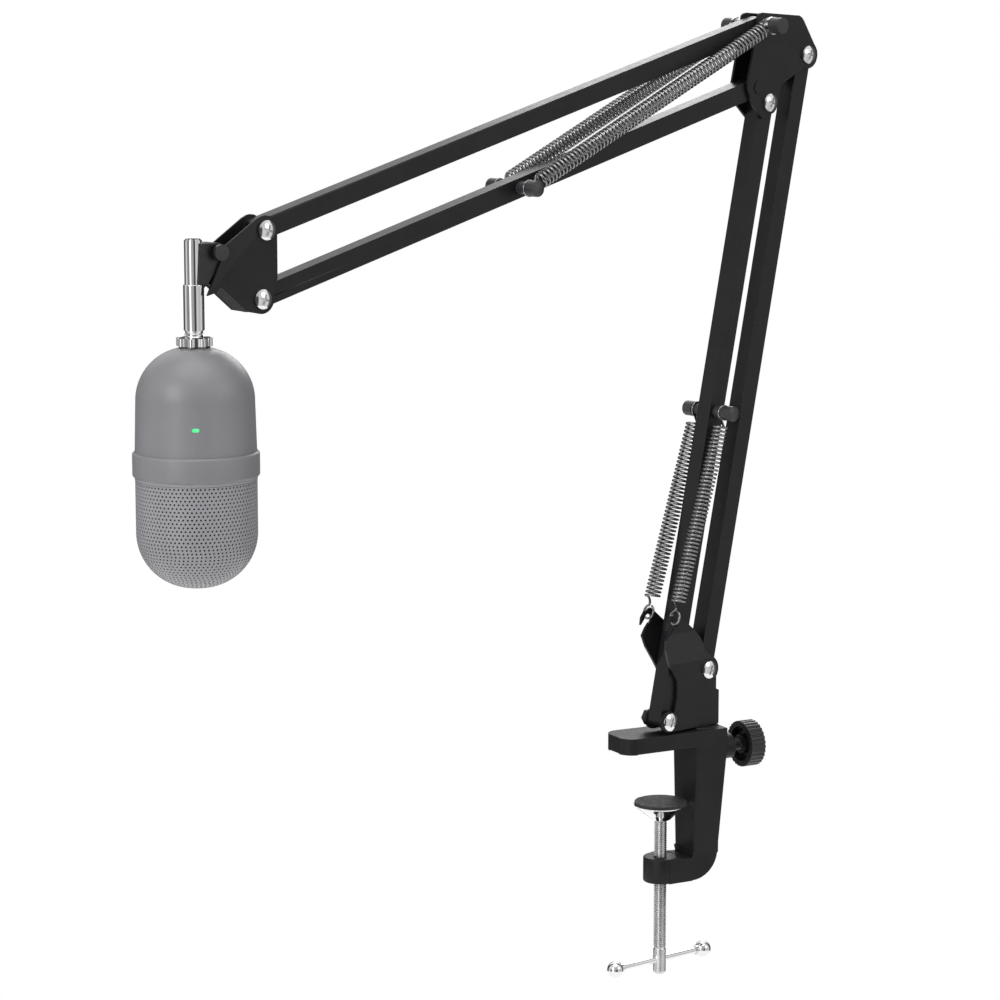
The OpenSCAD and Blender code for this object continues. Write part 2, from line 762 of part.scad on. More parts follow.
// Frame ring inside the join of shell and grille, with the floor that carries the
// board above and the capsule below
module mic_chassis() color("#2b2b2e") in_mic() {
    floor_t = 2;
    difference() {
        union() {
            translate([0, 0, -split - 1]) cylinder(h = 7, r = mic_r - shell_w - 0.1);
            translate([0, 0, -split - 8]) cylinder(h = 7.98, r = mic_r - mesh_w - 0.1);
        }
        translate([0, 0, -split + floor_t]) cylinder(h = 10, r = mic_r - shell_w - 3);
        translate([0, 0, -split - 10]) cylinder(h = 10, r = mic_r - mesh_w - 3);
        for (a = [45:90:315]) rotate([0, 0, a]) translate([14, 0, -split - 1])
            cylinder(h = floor_t + 2, r = 4);
    }
    for (a = [60, 180, 300]) rotate([0, 0, a]) translate([17, 0, -split + 1])
        cylinder(h = split - board_z - 1.05, r = 2.2);
}

module mic_board() color("#1f4a32") in_mic() difference() {
    translate([0, 0, -board_z]) cylinder(h = board_t, r = mic_r - shell_w - 3.4);
    for (a = [60, 180, 300]) rotate([0, 0, a]) translate([17, 0, -board_z - 1])
        cylinder(h = 4, r = 1.2);
}

module led_lens() color("#6fd89a") in_mic() {
    led_form(0, mic_r - 4, mic_r - 0.35);
    translate([mic_r - 8.5, -1.6, -board_z + board_t + 0.02])
        cube([4.6, 3.2, board_z - board_t - led_z + 0.9]);
}

module usb_socket() color("#c9c9cc") in_mic() difference() {
    usb_form(usb_w, usb_t, -mic_r + 0.9, -mic_r + 8.4);
    usb_form(usb_w - 0.6, usb_t - 0.6, -mic_r, -mic_r + 7.4);
}

module capsule_mount() color("#1c1c1e") in_mic() {
    arm_r = 2.6;
    stem_low = -capsule_z + capsule_r + 2;
    translate([0, 0, stem_low]) cylinder(h = -split - 0.05 - stem_low, r = arm_r);
    translate([0, 0, -split - 2.05]) cylinder(h = 2, r = 7);
    translate([-3, 0, -capsule_z]) rotate([0, 90, 0]) ring(capsule_r + 2.6, capsule_r + snug, 0, 6);
}

module capsule_body() color("#c2a35a") in_mic() translate([-4.5, 0, -capsule_z]) rotate([0, 90, 0])
    difference() {
        cylinder(h = 9, r = capsule_r);
        translate([0, 0, 7.6]) cylinder(h = 3, r = capsule_r - 1);
    }

module capsule_diaphragm() color("#e0c878") in_mic() translate([-4.5, 0, -capsule_z])
    rotate([0, 90, 0]) translate([0, 0, 7.62]) cylinder(h = 0.3, r = capsule_r - 1.05);

// ---- nodes ------------------------------------------------------------------

clamp_frame();
pad_cup();
pad_rubber();
clamp_screw();
tommy_bar();
tommy_balls();
lock_tip();
lock_knob();
lock_stud();
base_post();
base_bracket();
base_bolts();
base_nuts();
base_washers();
lower_front_bar();
lower_front_bushes();
lower_spring_pin();
lower_pin_caps();
lower_rear_bar();
lower_rear_bushes();
lower_springs();
lower_spring_eyes();
elbow_bracket();
elbow_bolts();
elbow_nuts();
elbow_rivet();
elbow_washers();
elbow_spring_bolt();
elbow_spring_caps();
upper_top_bar();
upper_top_bushes();
upper_bottom_bar();
upper_bottom_bushes();
upper_spring_pin();
upper_pin_caps();
upper_springs();
upper_spring_eyes();
head_bracket();
head_bolts();
head_nuts();
head_washers();
tilt_bolt();
tilt_nut();
swivel_block();
mic_rod();
rod_sleeve();
lock_ring();
ring_washer();
thread_insert();
mic_shell();
mic_chassis();
mic_band();
mic_grille();
grille_foam();
capsule_mount();
capsule_body();
capsule_diaphragm();
mic_board();
led_lens();
usb_socket();
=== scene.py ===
import json
import math

import bmesh
import bpy
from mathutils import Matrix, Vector


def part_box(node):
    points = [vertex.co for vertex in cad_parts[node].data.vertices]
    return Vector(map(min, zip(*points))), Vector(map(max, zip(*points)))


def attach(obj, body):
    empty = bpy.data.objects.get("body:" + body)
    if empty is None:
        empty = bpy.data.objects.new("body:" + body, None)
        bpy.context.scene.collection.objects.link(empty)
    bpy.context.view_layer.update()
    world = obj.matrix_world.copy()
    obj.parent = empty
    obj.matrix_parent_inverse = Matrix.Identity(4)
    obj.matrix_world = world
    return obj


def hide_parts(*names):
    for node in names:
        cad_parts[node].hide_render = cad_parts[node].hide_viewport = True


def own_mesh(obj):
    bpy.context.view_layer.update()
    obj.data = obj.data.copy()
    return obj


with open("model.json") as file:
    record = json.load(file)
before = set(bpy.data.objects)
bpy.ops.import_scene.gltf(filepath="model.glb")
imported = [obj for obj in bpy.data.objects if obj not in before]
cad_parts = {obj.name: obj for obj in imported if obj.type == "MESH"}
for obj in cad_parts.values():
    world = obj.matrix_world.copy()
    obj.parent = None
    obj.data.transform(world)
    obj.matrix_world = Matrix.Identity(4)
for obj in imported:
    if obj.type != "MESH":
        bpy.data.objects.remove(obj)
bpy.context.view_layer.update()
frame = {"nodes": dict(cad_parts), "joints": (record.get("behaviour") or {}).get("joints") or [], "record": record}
nodes = frame["nodes"]
joints = {j["name"]: j for j in frame["joints"]}
MM = 0.001

ORIGIN = Vector((0, 0, 0))              # on the clamp screw's axis
TO_BACK = Vector((1, 0, 0))             # towards the clamp's back, along the lock stud
ACROSS = Vector(joints["lower_arm"]["axis"]).normalized()       # along all the arm's pivots
UP = Vector((0, 0, 1))


def pivot(name):
    return Vector(joints[name]["pos_m"])


# ---------------------------------------------------------------- materials

NOISE_LOW, NOISE_HIGH = 0.3, 0.7        # nearly all of a noise's values are between these


class Mat:
    """A Principled material with small helpers for its procedural parts."""

    def __init__(self, name):
        self.mat = bpy.data.materials.new(name)
        self.mat.use_nodes = True
        self.tree = self.mat.node_tree
        self.nodes = self.tree.nodes
        self.bsdf = self.nodes["Principled BSDF"]
        self.coord = self.nodes.new("ShaderNodeTexCoord").outputs["Object"]

    def link(self, a, b):
        self.tree.links.new(a, b)

    def set(self, **values):
        for k, v in values.items():
            self.bsdf.inputs[k.replace("_", " ")].default_value = v
        return self

    def noise(self, scale, detail=4.0, rough=0.55):
        t = self.nodes.new("ShaderNodeTexNoise")
        t.inputs["Scale"].default_value = scale
        t.inputs["Detail"].default_value = detail
        t.inputs["Roughness"].default_value = rough
        self.link(self.coord, t.inputs["Vector"])
        return t.outputs["Fac"]

    def ramp(self, fac, c0, c1):
        r = self.nodes.new("ShaderNodeValToRGB")
        first, last = r.color_ramp.elements
        first.position = NOISE_LOW
        first.color = (*c0, 1)
        last.position = NOISE_HIGH
        last.color = (*c1, 1)
        self.link(fac, r.inputs["Fac"])
        return r.outputs["Color"]

    def colour(self, fac, c0, c1):
        self.link(self.ramp(fac, c0, c1), self.bsdf.inputs["Base Color"])

    def rough(self, fac, lo, hi):
        m = self.nodes.new("ShaderNodeMapRange")
        m.inputs["From Min"].default_value = NOISE_LOW
        m.inputs["From Max"].default_value = NOISE_HIGH
        m.inputs["To Min"].default_value = lo
        m.inputs["To Max"].default_value = hi
        self.link(fac, m.inputs["Value"])
        self.link(m.outputs["Result"], self.bsdf.inputs["Roughness"])

    def bump(self, fac, strength, distance):
        b = self.nodes.new("ShaderNodeBump")
        b.inputs["Strength"].default_value = strength
        b.inputs["Distance"].default_value = distance
        self.link(fac, b.inputs["Height"])
        self.link(b.outputs["Normal"], self.bsdf.inputs["Normal"])


mats = {}


def painted(name, c0, c1, r0, r1, grain, depth, scale=60.0, spec=0.5):
    """Paint or powder coat: slow colour drift, a fine orange peel and scuffs in the gloss."""
    m = Mat(name).set(Metallic=0.0, Specular_IOR_Level=spec)
    m.colour(m.noise(scale, 5.0), c0, c1)
    m.rough(m.noise(scale * 4, 6.0, 0.65), r0, r1)
    m.bump(m.noise(grain, 3.0, 0.6), 0.35, depth)
    mats[name] = m.mat


def metal(name, c0, c1, r0, r1, scale):
    """Plated or bare metal: cloudy tint, fine handling marks in the gloss."""
    m = Mat(name).set(Metallic=1.0)
    m.colour(m.noise(scale, 4.0), c0, c1)
    m.rough(m.noise(scale * 9, 8.0, 0.7), r0, r1)
    m.bump(m.noise(scale * 14, 4.0, 0.6), 0.12, 0.02 * MM)
    mats[name] = m.mat


def plastic(name, c0, c1, r0, r1, grain, depth, spec=0.45):
    """Moulded plastic or rubber: slight colour drift and a moulded grain."""
    m = Mat(name).set(Metallic=0.0, Specular_IOR_Level=spec)
    m.colour(m.noise(90.0, 5.0), c0, c1)
    m.rough(m.noise(400.0, 5.0), r0, r1)
    m.bump(m.noise(grain, 2.0, 0.5), 0.4, depth)
    mats[name] = m.mat


painted("clamp_black", (0.0075, 0.0075, 0.0085), (0.012, 0.012, 0.0135), 0.4, 0.52,
        grain=1500.0, depth=0.06 * MM, spec=0.22)
painted("arm_black", (0.0075, 0.0075, 0.0088), (0.0115, 0.0115, 0.0132), 0.3, 0.38,
        grain=2200.0, depth=0.004 * MM, spec=0.26)
painted("black_steel", (0.012, 0.012, 0.013), (0.022, 0.022, 0.023), 0.22, 0.34,
        grain=1500.0, depth=0.01 * MM, scale=90.0, spec=0.6)
metal("chrome", (0.72, 0.72, 0.73), (0.79, 0.79, 0.8), 0.045, 0.12, 70.0)
metal("zinc", (0.54, 0.54, 0.55), (0.68, 0.68, 0.695), 0.2, 0.34, 120.0)
metal("spring_steel", (0.2, 0.2, 0.205), (0.32, 0.32, 0.325), 0.2, 0.32, 240.0)
metal("bronze", (0.55, 0.38, 0.17), (0.66, 0.48, 0.24), 0.3, 0.45, 300.0)
metal("insert_brass", (0.2, 0.19, 0.17), (0.3, 0.285, 0.26), 0.25, 0.36, 200.0)
metal("port_steel", (0.5, 0.5, 0.52), (0.62, 0.62, 0.64), 0.25, 0.35, 260.0)
metal("gold", (0.72, 0.52, 0.22), (0.84, 0.64, 0.32), 0.18, 0.3, 200.0)
plastic("nylon", (0.62, 0.6, 0.54), (0.72, 0.7, 0.64), 0.4, 0.55, 900.0, 0.04 * MM)
plastic("black_plastic", (0.008, 0.008, 0.0088), (0.014, 0.014, 0.015), 0.26, 0.38, 1900.0, 0.03 * MM)
plastic("pad_rubber", (0.016, 0.016, 0.017), (0.034, 0.034, 0.036), 0.6, 0.8, 1100.0, 0.14 * MM, 0.3)
plastic("cap_grey", (0.02, 0.02, 0.022), (0.045, 0.045, 0.048), 0.35, 0.5, 1200.0, 0.04 * MM)
plastic("inner_plastic", (0.02, 0.02, 0.022), (0.035, 0.035, 0.037), 0.5, 0.65, 900.0, 0.05 * MM)
plastic("foam", (0.07, 0.07, 0.073), (0.13, 0.13, 0.135), 0.85, 0.95, 1500.0, 0.5 * MM, 0.2)
plastic("board", (0.01, 0.07, 0.035), (0.02, 0.12, 0.06), 0.3, 0.45, 500.0, 0.02 * MM)

# The microphone's satin grey paint; the mesh is a little lighter, as its holes darken it
BLUISH = 1.06
for slot_name, grain_depth, tone in (("mic_paint", 0.018 * MM, 1.0), ("mic_mesh", 0.012 * MM, 1.38)):
    m = Mat(slot_name).set(Metallic=0.0, Specular_IOR_Level=0.5, Coat_Weight=0.15, Coat_Roughness=0.35)
    dark, pale = 0.192 * tone, 0.214 * tone
    m.colour(m.noise(35.0, 4.0), (dark, dark, dark * BLUISH), (pale, pale, pale * BLUISH))
    m.rough(m.noise(1500.0, 5.0, 0.7), 0.38, 0.52)
    m.bump(m.noise(5200.0, 2.0, 0.5), 0.5, grain_depth)
    mats[slot_name] = m.mat

# The light's lens
m = Mat("light").set(Metallic=0.0, Specular_IOR_Level=0.5, Emission_Strength=0.8)
glow = m.ramp(m.noise(500.0, 2.0), (0.04, 0.45, 0.15), (0.1, 0.65, 0.25))
m.link(glow, m.bsdf.inputs["Base Color"])
m.link(glow, m.bsdf.inputs["Emission Color"])
m.rough(m.noise(300.0), 0.2, 0.35)
mats["light"] = m.mat

slot_of = {s["node"]: s["material_slot"] for s in frame["record"]["subparts"]}
for name, obj in nodes.items():
    for i in range(len(obj.material_slots)):
        obj.material_slots[i].material = mats[slot_of[name]]


# ---------------------------------------------------------------- helpers

SAME_SPOT = 0.002 * MM                  # vertices this close are one
TINY = 1e-7                             # shorter than this is nothing
NARROW = 0.25 * MM                      # faces narrower than this can't take a rounded edge


def ease(name, width, segments, shortest, angle=32.0):
    """Rounds a CAD node's sharp edges, as the real part's are, but for those shorter than shortest."""
    obj = nodes[name]
    mesh = obj.data
    spots = [tuple(round(c / SAME_SPOT) for c in v.co) for v in mesh.vertices]
    meeting = {}
    for face in mesh.polygons:
        corners = list(face.vertices)
        for i in range(len(corners)):
            key = tuple(sorted((spots[corners[i]], spots[corners[i - 1]])))
            meeting.setdefault(key, []).append((face.normal, face.area))
    limit = math.cos(math.radians(angle))
    weights = []
    for edge in mesh.edges:
        first, last = edge.vertices
        met = meeting.get(tuple(sorted((spots[first], spots[last]))), [])
        long = (mesh.vertices[first].co - mesh.vertices[last].co).length
        fits = long > shortest * MM and len(met) == 2 and min(met[0][1], met[1][1]) / long > NARROW
        weights.append(1.0 if fits and met[0][0].dot(met[1][0]) < limit else 0.0)
    mesh.attributes.new("bevel_weight_edge", "FLOAT", "EDGE").data.foreach_set("value", weights)
    weld = obj.modifiers.new("weld", "WELD")
    weld.merge_threshold = SAME_SPOT
    bevel = obj.modifiers.new("ease", "BEVEL")
    bevel.width = width * MM
    bevel.segments = segments
    bevel.limit_method = "WEIGHT"
    bevel.use_clamp_overlap = False
    bevel.harden_normals = True
    bevel.miter_outer = "MITER_ARC"


def piece(name, bm, body, slot, *replaced, smooth=35.0, weighted=False):
    """Makes a visual piece from bm that rides on a body and stands in for CAD nodes."""
    mesh = bpy.data.meshes.new(name)
    bm.normal_update()
    bm.to_mesh(mesh)
    bm.free()
    mesh.shade_smooth()
    mesh.set_sharp_from_angle(angle=math.radians(smooth))
    mesh.materials.append(mats[slot])
    o = bpy.data.objects.new(name, mesh)
    if weighted:
        normals = o.modifiers.new("faces first", "WEIGHTED_NORMAL")
        normals.weight = 90
        normals.keep_sharp = True
    bpy.context.scene.collection.objects.link(o)
    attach(o, body)
    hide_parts(*replaced)
    return o


def spoke(u, v, turns):
    """Direction at so many turns from u towards v."""
    a = 2 * math.pi * turns
    return u * math.cos(a) + v * math.sin(a)


def sweep(bm, points, radius, sides):
    """Round wire along a polyline, with closed ends."""
    tangents = []
    for i in range(len(points)):
        a = points[max(i - 1, 0)]
        b = points[min(i + 1, len(points) - 1)]
        tangents.append((b - a).normalized())
    t = tangents[0]
    n = t.orthogonal().normalized()
    rings = []
    for p, t2 in zip(points, tangents):
        n = t.rotation_difference(t2) @ n
        n = (n - t2 * n.dot(t2)).normalized()
        t = t2
        b = t.cross(n)
        rings.append([bm.verts.new(p + spoke(n, b, k / sides) * radius) for k in range(sides)])
    for r0, r1 in zip(rings, rings[1:]):
        for k in range(sides):
            bm.faces.new((r0[k], r0[(k + 1) % sides], r1[(k + 1) % sides], r1[k]))
    bm.faces.new(list(reversed(rings[0])))
    bm.faces.new(rings[-1])


def outline(base, *points):
    """Lathe profile in metres, from points in mm: radius, and height above base."""
    return [(r * MM, base + h * MM) for r, h in points]


def lathe(bm, origin, axis, profile, segs):
    """Surface of revolution: profile holds (radius, distance along axis)."""
    axis = axis.normalized()
    u = axis.orthogonal().normalized()
    v = axis.cross(u)
    rings = []
    for r, h in profile:
        c = origin + axis * h
        if r < TINY:
            rings.append([bm.verts.new(c)])
        else:
            rings.append([bm.verts.new(c + spoke(u, v, k / segs) * r) for k in range(segs)])
    for a, b in zip(rings, rings[1:]):
        for k in range(segs):
            k2 = (k + 1) % segs
            if len(a) == 1 and len(b) == 1:
                continue
            if len(a) == 1:
                bm.faces.new((a[0], b[k2], b[k]))
            elif len(b) == 1:
                bm.faces.new((a[k], a[k2], b[0]))
            else:
                bm.faces.new((a[k], a[k2], b[k2], b[k]))


THREAD_FORM = (0.0, 0.0, 0.35, 0.8, 1.0, 1.0, 0.8, 0.35)     # share of the depth, over one pitch


def thread(bm, origin, axis, h0, h1, radius, pitch, depth, segs=36):
    """Screw thread from h0 to h1 along axis: rings that climb one pitch a turn."""
    per = len(THREAD_FORM)
    axis = axis.normalized()
    u = axis.orthogonal().normalized()
    v = axis.cross(u)
    count = int(math.ceil((h1 - h0) / pitch + 2)) * per
    rows = []
    for i in range(count + 1):
        row = []
        for k in range(segs):
            h = h0 - pitch + pitch * (i / per + k / segs)
            end = min(h - h0, h1 - h)
            cut = THREAD_FORM[i % per] * depth
            if end < pitch:             # the crest goes down to the core over each end's last turn
                cut = max(cut, (pitch - max(end, 0.0)) / pitch * depth * 1.05)
            h = min(max(h, h0), h1)
            row.append(bm.verts.new(origin + axis * h + spoke(u, v, k / segs) * (radius - cut)))
        rows.append(row)
    for i in range(count):
        for k in range(segs):
            if k + 1 < segs:
                quad = (rows[i][k], rows[i][k + 1], rows[i + 1][k + 1], rows[i + 1][k])
            elif i + per + 1 <= count:
                quad = (rows[i][k], rows[i + per][0], rows[i + per + 1][0], rows[i + 1][k])
            else:
                continue
            bm.faces.new(quad)
    bmesh.ops.remove_doubles(bm, verts=[x for r in rows for x in r], dist=SAME_SPOT / 2)
    bmesh.ops.dissolve_degenerate(bm, dist=TINY, edges=bm.edges[:])
    bmesh.ops.holes_fill(bm, edges=[e for e in bm.edges if e.is_boundary], sides=0)


# ---------------------------------------------------------------- springs

SPRING_R = 3.85 * MM                    # to the middle of the wire
INNER_R = SPRING_R - 0.04 * MM          # coils from the pin, smaller so that no faces coincide
WIRE_R = 0.65 * MM
LOW_PITCH = 2.15 * MM
UP_PITCH = 2.54 * MM
LOOP_R = 3.8 * MM                       # the loops round the bolt and the pins
HOOK_LOOP_R = 3.7 * MM
FIRST_COIL = 7.0 * MM                   # where the coils start, from the bolt or pin
HOOK_FIRST_COIL = 12.0 * MM             # and from the hook
LOW_Y = 10.6 * MM                       # each spring's distance from the arm's plane
UP_Y = 12.0 * MM
HALF_LOOP = 160                         # degrees each way from the loop's far side
LOOP_STEPS = 30
LEAD_STEPS = 10
TURN_STEPS = 18


def spring_path(origin, along, y, upright, length, radius, loop, start, pitch):
    """A loop at the spring's end, a bend out to the coil's edge, then coils out to length.

    An upright loop stands across the arm and starts at the origin.
    A flat one lies in the arm's plane with the origin in its middle."""
    up = along.cross(ACROSS).normalized()
    centre = origin + ACROSS * y
    side = ACROSS if upright else up
    mid = centre + along * (loop if upright else 0.0)
    phase, way = (0.0, 1) if upright else (math.pi / 2, -1)
    points = []
    for i in range(LOOP_STEPS + 1):
        a = math.radians(way * (-HALF_LOOP + 2 * HALF_LOOP * i / LOOP_STEPS))
        points.append(mid - along * math.cos(a) * loop + side * math.sin(a) * loop)
    # A Hermite curve leads the wire from the loop's end out to the first coil
    first = points[-1]
    goal = centre + along * start + (ACROSS * math.cos(phase) + up * math.sin(phase)) * radius
    t0 = (points[-1] - points[-2]).normalized()
    t1 = up * math.cos(phase) - ACROSS * math.sin(phase)
    span = (goal - first).length
    for i in range(1, LEAD_STEPS):
        t = i / LEAD_STEPS
        h1, h2 = 2 * t**3 - 3 * t**2 + 1, t**3 - 2 * t**2 + t
        h3, h4 = -2 * t**3 + 3 * t**2, t**3 - t**2
        points.append(first * h1 + t0 * span * h2 + goal * h3 + t1 * span * h4)
    steps = int((length - start) / pitch * TURN_STEPS)
    for i in range(steps + 1):
        a = 2 * math.pi * i / TURN_STEPS + phase
        x = start + pitch * i / TURN_STEPS
        points.append(centre + along * x + (ACROSS * math.cos(a) + up * math.sin(a)) * radius)
    return points


def spring(name, body, node, origin, toward, y, length, radius, pitch,
           upright=False, loop=LOOP_R, start=FIRST_COIL):
    """One end's loops and coils of a pair of springs, one each side of the arm."""
    along = (toward - origin).normalized()
    bm = bmesh.new()
    for s in (-1, 1):
        wire = spring_path(origin, along, s * y, upright, length, radius, loop, start, pitch)
        sweep(bm, wire, WIRE_R, sides=8)
    return piece(name, bm, body, "spring_steel", node, smooth=60.0)


def meeting_start(a, b, start, pitch, turns):
    """Where the second half's coils start, so that both halves' coils lie on one another at rest."""
    return FIRST_COIL + ((b - a).length - start - FIRST_COIL + turns * pitch) % pitch


low_hook, low_pin = pivot("lower_spring_swing"), pivot("lower_eye_swing")
up_bolt, up_pin = pivot("upper_spring_swing"), pivot("upper_eye_swing")
spring("lower_coils", "lower_springs", "lower_springs", low_hook, low_pin, LOW_Y, 80.0 * MM,
       SPRING_R, LOW_PITCH, upright=True, loop=HOOK_LOOP_R, start=HOOK_FIRST_COIL)
spring("lower_pin_coils", "lower_eyes", "lower_spring_eyes", low_pin, low_hook, LOW_Y, 70.0 * MM,
       INNER_R, LOW_PITCH, start=meeting_start(low_hook, low_pin, HOOK_FIRST_COIL, LOW_PITCH, 0.25))
coils = spring("upper_coils", "upper_springs", "upper_springs", up_bolt, up_pin, UP_Y, 116.0 * MM,
               SPRING_R, UP_PITCH)
pin_coils = spring("upper_pin_coils", "upper_eyes", "upper_spring_eyes", up_pin, up_bolt, UP_Y, 108.0 * MM,
                   INNER_R, UP_PITCH, start=meeting_start(up_bolt, up_pin, FIRST_COIL, UP_PITCH, 0.5))
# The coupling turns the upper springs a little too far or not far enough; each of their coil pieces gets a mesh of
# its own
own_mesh(coils)
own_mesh(pin_coils)


# ---------------------------------------------------------------- screws

lo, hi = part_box("clamp_screw")
HEAD_H = 14.5 * MM                      # plain head that the tommy bar goes through
SHOULDER_Z = -41.1 * MM                 # the thread ends here, and a neck goes on into the pad
bm = bmesh.new()
thread(bm, ORIGIN, UP, lo.z + HEAD_H, SHOULDER_Z, radius=3.5 * MM, pitch=1.25 * MM, depth=0.55 * MM)
head = outline(lo.z, (0, 0), (2.4, 0), (3.0, 0.3), (3.35, 0.9), (3.5, 1.6), (3.5, 13.9), (3.25, 14.3),
               (2.9, 14.9), (0, 14.9))
lathe(bm, ORIGIN, UP, head, 48)
neck = outline(SHOULDER_Z, (0, -1.0), (2.5, -1.0)) + outline(hi.z, (2.5, 0), (0, 0))
lathe(bm, ORIGIN, UP, neck, 40)
piece("screw_threaded", bm, "screw", "zinc", "clamp_screw", weighted=True)

lo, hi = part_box("lock_stud")
stud_axis = Vector((0, 0, (lo.z + hi.z) / 2))
bm = bmesh.new()
thread(bm, stud_axis, TO_BACK, lo.x, hi.x, radius=3.0 * MM, pitch=1.0 * MM, depth=0.42 * MM)
piece("lock_stud_threaded", bm, "lock", "black_steel", "lock_stud")

# ---------------------------------------------------------------- sleeve and its stud

SLEEVE_H = 21.8 * MM                    # the sleeve without the stud under it
lo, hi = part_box("rod_sleeve")
rod = Vector(((lo.x + hi.x) / 2, (lo.y + hi.y) / 2, 0))
shoulder = hi.z - SLEEVE_H
bm = bmesh.new()
thread(bm, rod, UP, lo.z, shoulder + 0.3 * MM, radius=4.76 * MM, pitch=1.5875 * MM, depth=0.5 * MM, segs=48)
sleeve = outline(shoulder, (4.3, 1.4), (4.3, 0), (4.7, 0), (4.92, 0.08), (5.0, 0.3))
sleeve += outline(hi.z, (5.0, -0.4), (4.92, -0.12), (4.75, 0), (4.36, 0), (4.36, -2.0))
sleeve += outline(shoulder, (4.36, 1.4))
lathe(bm, rod, UP, sleeve, 72)
piece("sleeve_threaded", bm, "mic", "chrome", "rod_sleeve", weighted=True)

# ---------------------------------------------------------------- perforated grille

lo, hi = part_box("mic_grille")
axis_xy = Vector(((lo.x + hi.x) / 2, (lo.y + hi.y) / 2, 0))
mic_low = lo.z
mic_r = (hi.x - lo.x) / 2
end_r = mic_r - 2.2 * MM                # radius of the rounded lower end
arc_z = mic_low + end_r
band_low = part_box("mic_band")[0].z
lip_z = band_low - 1.7 * MM             # the perforated part starts here
straight = lip_z - arc_z
WALL = 0.6 * MM
HOLE_R = 0.5 * MM
HOLE_PITCH = 2.1 * MM
SMALLEST_ROW_R = 4.2 * MM               # the pole inside this is plain
FEWEST_HOLES = 10
CAP_STEPS = 8


def skin(s):
    """Point and normal of the grille's half section, s metres below the lip."""
    if s <= straight:
        return (mic_r, lip_z - s), (1.0, 0.0)
    a = (s - straight) / end_r
    return (mic_r - end_r + end_r * math.cos(a), arc_z - end_r * math.sin(a)), (math.cos(a), -math.sin(a))


def at(ang, s, inner):
    """Point of the grille's outer or inner surface."""
    (r, z), (nr, nz) = skin(s)
    if inner:
        r, z = r - nr * WALL, z - nz * WALL
    return axis_xy + Vector((r * math.cos(ang), r * math.sin(ang), z))


bm = bmesh.new()
row_h = HOLE_PITCH * math.sqrt(3) / 2
section = straight + end_r * math.pi / 2
pole_s = 0.0
for i in range(int(section / row_h)):
    s0, s1 = i * row_h, (i + 1) * row_h
    mid_s = (s0 + s1) / 2
    row_r = skin(mid_s)[0][0]
    n = int(round(2 * math.pi * row_r / HOLE_PITCH))
    if row_r < SMALLEST_ROW_R or n < FEWEST_HOLES:
        break
    pole_s = s1
    shift = 0.5 if i % 2 else 0.0       # every other row is moved by half a hole
    cell = 2 * math.pi / n
    # Each cell has four corners and an eight-sided hole, with two of its sides to each of the cell's
    for k in range(n):
        a0 = (k + shift) * cell
        a1 = a0 + cell
        mid_a = a0 + cell / 2
        layers = []
        for inner in (False, True):
            corner = [at(a0, s0, inner), at(a1, s0, inner), at(a1, s1, inner), at(a0, s1, inner)]
            hole = []
            for q in range(8):
                th = math.radians(-157.5 + 45 * q)
                hole_a = mid_a + HOLE_R * math.cos(th) / row_r
                hole.append(at(hole_a, mid_s + HOLE_R * math.sin(th), inner))
            layers.append(([bm.verts.new(c) for c in corner], [bm.verts.new(h) for h in hole]))
        for (c, h), flip in zip(layers, (False, True)):
            faces = []
            for side in range(4):
                b = (2 * side + 1) % 8
                faces.append((c[side], c[(side + 1) % 4], h[(b + 1) % 8], h[b]))
                faces.append((c[side], h[b], h[(b - 1) % 8]))
            for f in faces:
                bm.faces.new(f if flip else tuple(reversed(f)))
        outer_hole, inner_hole = layers[0][1], layers[1][1]
        for q in range(8):
            q2 = (q + 1) % 8
            bm.faces.new((outer_hole[q], outer_hole[q2], inner_hole[q2], inner_hole[q]))
bmesh.ops.remove_doubles(bm, verts=bm.verts[:], dist=SAME_SPOT)
# Plain cap at the pole, and the rolled lip under the band
cap = [skin(pole_s + (section - pole_s) * j / CAP_STEPS)[0] for j in range(CAP_STEPS + 1)]
cap_r, cap_z = cap[0]
cap += [(0, mic_low), (0, mic_low + WALL), (cap_r, cap_z + WALL * 0.8), (cap_r, cap_z)]
lathe(bm, axis_xy, UP, cap, 64)
LIP = ((-1.0, 0.6), (0.2, 0.6), (0.2, -0.9), (0.1, -1.3), (-0.2, -1.65), (-1.0, -1.7), (-1.0, 0.6))
lathe(bm, axis_xy, UP, [(mic_r + r * MM, band_low + h * MM) for r, h in LIP], 128)
piece("grille_perforated", bm, "mic", "mic_mesh", "mic_grille", smooth=30.0)

# ---------------------------------------------------------------- edges of the CAD parts

for name in ("lower_front_bar", "lower_rear_bar", "upper_top_bar", "upper_bottom_bar"):
    ease(name, width=0.9, segments=3, shortest=4.0)
ease("clamp_frame", width=0.9, segments=3, shortest=0.9)
for name in ("lock_knob", "pad_cup", "pad_rubber", "swivel_block"):
    ease(name, width=0.3, segments=2, shortest=0.7)
ease("mic_band", width=0.5, segments=3, shortest=0.3, angle=20.0)

# ---------------------------------------------------------------- stage

FLOOR_R = 0.9
FLOOR_Z = -0.45
bm = bmesh.new()
bmesh.ops.create_circle(bm, cap_ends=True, segments=128, radius=FLOOR_R)
floor_mesh = bpy.data.meshes.new("floor")
bm.to_mesh(floor_mesh)
bm.free()
floor = bpy.data.objects.new("floor", floor_mesh)
floor.location = (-0.1, 0, FLOOR_Z)
bpy.context.scene.collection.objects.link(floor)
m = Mat("floor").set(Metallic=0.0, Roughness=0.75, Specular_IOR_Level=0.2)
m.colour(m.noise(3.0, 2.0), (0.9, 0.9, 0.9), (0.92, 0.92, 0.92))
floor.data.materials.append(m.mat)

